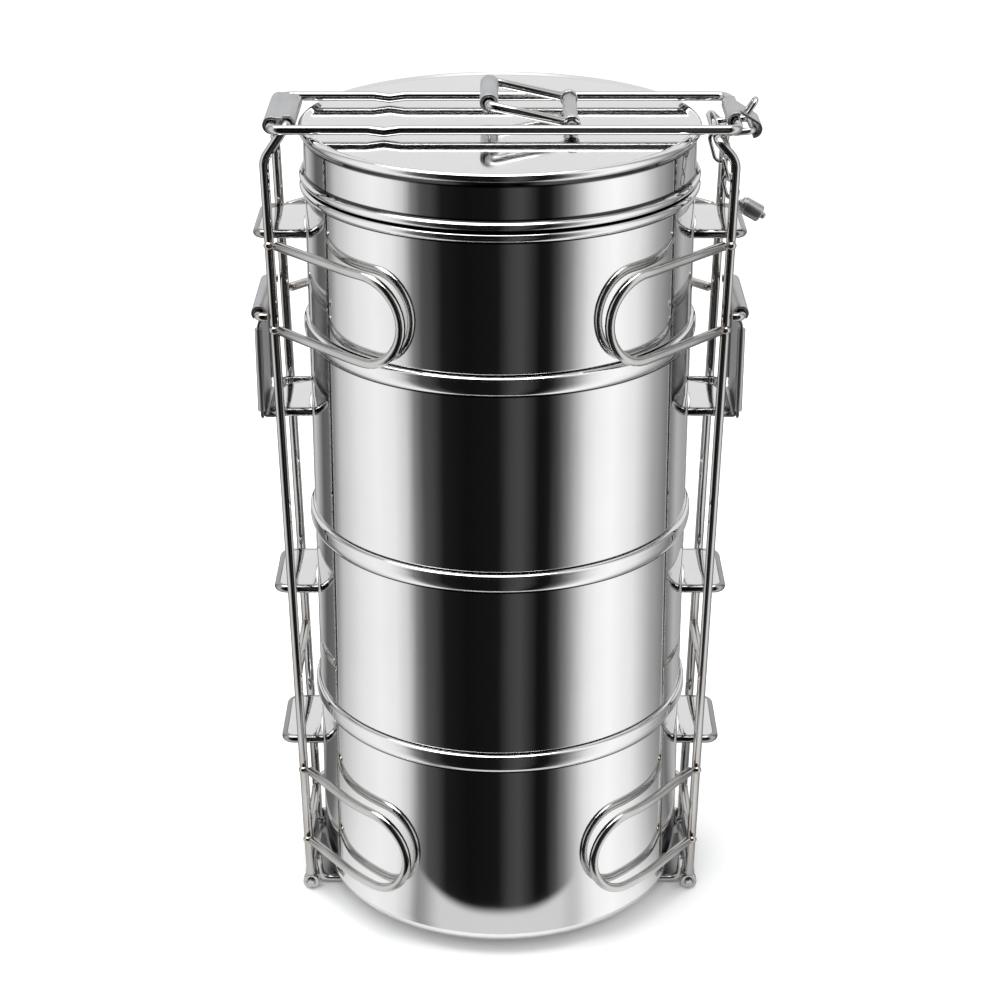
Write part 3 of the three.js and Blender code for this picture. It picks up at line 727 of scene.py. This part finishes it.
bm = bmesh.new()
head = hook + down * PIN_DROP
steps = [(0, 2), (1.3, 2), (1.3, 3.2), (2.8, 3.2), (2.8, 4.2), (3.3, 4.2), (3.3, 11.4), (1.3, 11.4),
         (1.3, 12.8), (0.8, 13.4), (0, 13.4)]
bends = [0, 0.3, 0.2, 0.3, 0.2, 0.4, 0.5, 0.2, 0.5, 0.3, 0]
profile = round_corners([Vector(p) for p in steps], bends, 4)
side_way = lying.cross(across)
dots = [bm.verts.new((head + side_way * p.x + lying * p.y) * MM) for p in profile]
edges = [bm.edges.new(pair) for pair in zip(dots, dots[1:])]
bmesh.ops.spin(bm, geom=dots + edges, cent=head * MM, axis=lying, angle=math.tau, steps=40, use_merge=True)
RING_R = 2.3
ring = [head + down * RING_R * math.cos(t) + across * RING_R * math.sin(t) for t in
        [math.tau * k / 28 for k in range(28)]]
bend_wire(bm, ring, 0.75, True, 12)
settle(bm, "lock_pin_body", "lock_chain", ["lock_pin"], satin_across)

# %% [markdown]
# The floor is plain and nearly white. The steel itself has almost no colour of its own, so what it mirrors
# is the picture: a flat sheet on the floor, which only mirrored rays can see, carries the tones that a
# studio would put around the carrier. They depend only on the direction, so every container shows the same
# upright bands. In front of the carrier the sheet is pale for the first few centimetres, which gives the
# bottom container its pale, rounded foot. A dome carries the same tones up from the horizon, is pale behind
# the carrier and bright a little behind the point overhead. A pale sky and one wide softbox light the floor.

# %% Floor and light
floor_bm = bmesh.new()
bmesh.ops.create_circle(floor_bm, cap_ends=True, segments=96, radius=9.0)
floor_mesh = bpy.data.meshes.new("floor")
floor_bm.to_mesh(floor_mesh)
floor_bm.free()
floor = bpy.data.objects.new("floor", floor_mesh)
scene.collection.objects.link(floor)
chalk = Finish("pale_floor")
grain = chalk.noise((30, 30, 30), detail=2.0)
tone = chalk.blend(grain, (0.93, 0.93, 0.93, 1), (0.95, 0.95, 0.95, 1))
floor_mesh.materials.append(chalk.done(chalk.node("ShaderNodeBsdfPrincipled", {}, {
    "Base Color": tone, "Roughness": 0.9, "Specular IOR Level": 0.0})))

# Angle from straight ahead in degrees, towards +X, and the brightness there.
TONES = (
    (-180, 0.50), (-147, 0.56), (-133, 0.12), (-120, 0.16), (-110, 0.60), (-93, 0.90), (-78, 1.02),
    (-66, 0.95), (-58, 0.70), (-52, 0.24), (-46, 0.085), (-40, 0.06), (-34, 0.012), (-20, 0.006),
    (-1, 0.009), (6, 0.055), (12, 0.07), (18, 0.036), (23, 0.006), (29, 0.010), (35, 0.075), (41, 0.25),
    (47, 0.55), (53, 0.87), (60, 1.04), (70, 1.12), (87, 0.92), (103, 0.45), (121, 0.17), (133, 0.50),
    (148, 0.38), (180, 0.50))
FOCUS_Y = 0.0375  # a round mirror sees the room from a point halfway between its axis and its front
NEAR_TONE, REAR_TONE, OVERHEAD_TONE = 0.72, 0.84, 1.55
SHEET_START, SHEET_GROWTH, SHEET_LIFT = 0.0762, 80, 0.0006
FOOT_EDGE, FOOT_ASIDE = (0.099, 0.108), (36, 58)
REAR_FROM, OVERHEAD_FROM, LEAN_BACK = (112, 132), (0.925, 0.985), 15
DOME_R, SKY_STRENGTH, SOFTBOX_WATTS = 6.5, 1.12, 27.0


def tone_of(paint, x, y):
    """The tone in a direction: its angle from straight ahead picks the place on the ramp."""
    angle = paint.node("ShaderNodeMath", {"operation": "ARCTAN2"}, {0: x, 1: 0.0 - y})
    stops = [((a + 180) / 360, (v, v, v)) for a, v in TONES]
    return angle, paint.node("ShaderNodeValToRGB", {"stops": stops}, {"Fac": angle / math.tau + 0.5})


def smooth(paint, value, start, end):
    return paint.node("ShaderNodeMapRange", {"interpolation_type": "SMOOTHSTEP"}, {
        "Value": value, "From Min": start, "From Max": end, "To Min": 0.0, "To Max": 1.0})


def only_mirrored(name, bm, paint, colour):
    """An emitting piece of the studio that nothing but a mirror can see."""
    mesh = bpy.data.meshes.new(name)
    bm.to_mesh(mesh)
    bm.free()
    light = paint.node("ShaderNodeEmission", {}, {"Color": colour, "Strength": 1.0})
    mesh.materials.append(paint.done(light))
    card = bpy.data.objects.new(name, mesh)
    scene.collection.objects.link(card)
    for ray in ("camera", "diffuse", "transmission", "volume_scatter", "shadow"):
        setattr(card, f"visible_{ray}", False)
    return card


sheet_bm = bmesh.new()
bmesh.ops.create_circle(sheet_bm, segments=160, radius=SHEET_START)
grown = bmesh.ops.extrude_edge_only(sheet_bm, edges=sheet_bm.edges[:])["geom"]
outer_ring = [item for item in grown if isinstance(item, bmesh.types.BMVert)]
bmesh.ops.scale(sheet_bm, verts=outer_ring, vec=(SHEET_GROWTH, SHEET_GROWTH, 1))
bmesh.ops.translate(sheet_bm, verts=sheet_bm.verts, vec=(0, 0, SHEET_LIFT))
glow = Finish("floor_tones")
spot = glow.node("ShaderNodeTexCoord", out="Object")
x = glow.node("ShaderNodeSeparateXYZ", {}, {0: spot}, out="X")
y = glow.node("ShaderNodeSeparateXYZ", {}, {0: spot}, out="Y")
angle, band = tone_of(glow, x, y + FOCUS_Y)
away = glow.node("ShaderNodeVectorMath", {"operation": "LENGTH"}, {0: spot}, out="Value")
side = glow.node("ShaderNodeMath", {"operation": "ABSOLUTE"}, {0: angle})
start = away - side * side * side * 0.03
beyond = smooth(glow, start, *FOOT_EDGE)
aside = smooth(glow, side, *map(math.radians, FOOT_ASIDE))
floor_colour = glow.blend(beyond, (NEAR_TONE, NEAR_TONE, NEAR_TONE, 1), band)
floor_colour = glow.blend(aside, floor_colour, band)
tones = only_mirrored("mirrored_floor_tones", sheet_bm, glow, floor_colour)

dome_bm = bmesh.new()
bmesh.ops.create_uvsphere(dome_bm, u_segments=96, v_segments=48, radius=DOME_R)
bmesh.ops.bisect_plane(dome_bm, geom=dome_bm.verts[:] + dome_bm.edges[:] + dome_bm.faces[:],
                       plane_co=(0, 0, 0), plane_no=(0, 0, 1), clear_inner=True)
air = Finish("dome_tones")
spot = air.node("ShaderNodeTexCoord", out="Object")
x = air.node("ShaderNodeSeparateXYZ", {}, {0: spot}, out="X")
y = air.node("ShaderNodeSeparateXYZ", {}, {0: spot}, out="Y")
z = air.node("ShaderNodeSeparateXYZ", {}, {0: spot}, out="Z")
angle, band = tone_of(air, x, y)
turned_away = air.node("ShaderNodeMath", {"operation": "ABSOLUTE"}, {0: angle})
behind = smooth(air, turned_away, *map(math.radians, REAR_FROM))
lean_back = math.radians(LEAN_BACK)
upward = z * math.cos(lean_back) + y * math.sin(lean_back)
overhead_part = smooth(air, upward / DOME_R, *OVERHEAD_FROM)
low_part = air.blend(behind, band, (REAR_TONE, REAR_TONE, REAR_TONE + 0.005, 1))
dome_colour = air.blend(overhead_part, low_part, (OVERHEAD_TONE, OVERHEAD_TONE, OVERHEAD_TONE, 1))
dome = only_mirrored("mirrored_dome_tones", dome_bm, air, dome_colour)

scene.world = bpy.data.worlds.new("studio")
sky = Finish("studio", scene.world)
daylight = sky.node("ShaderNodeBackground", {}, {"Color": (0.97, 0.975, 0.98, 1), "Strength": SKY_STRENGTH})
scene.world = sky.done(daylight, "ShaderNodeOutputWorld")
softbox = bpy.data.lights.new("overhead_softbox", "AREA")
softbox.shape, softbox.size, softbox.size_y, softbox.energy = "RECTANGLE", 1.6, 1.2, SOFTBOX_WATTS
overhead = bpy.data.objects.new("overhead_softbox", softbox)
overhead.location = (-0.25, -0.15, 1.9)
overhead.rotation_euler = (math.radians(-4), math.radians(-7), 0)
scene.collection.objects.link(overhead)
scene.view_settings.view_transform = "Standard"
print("studio ready")
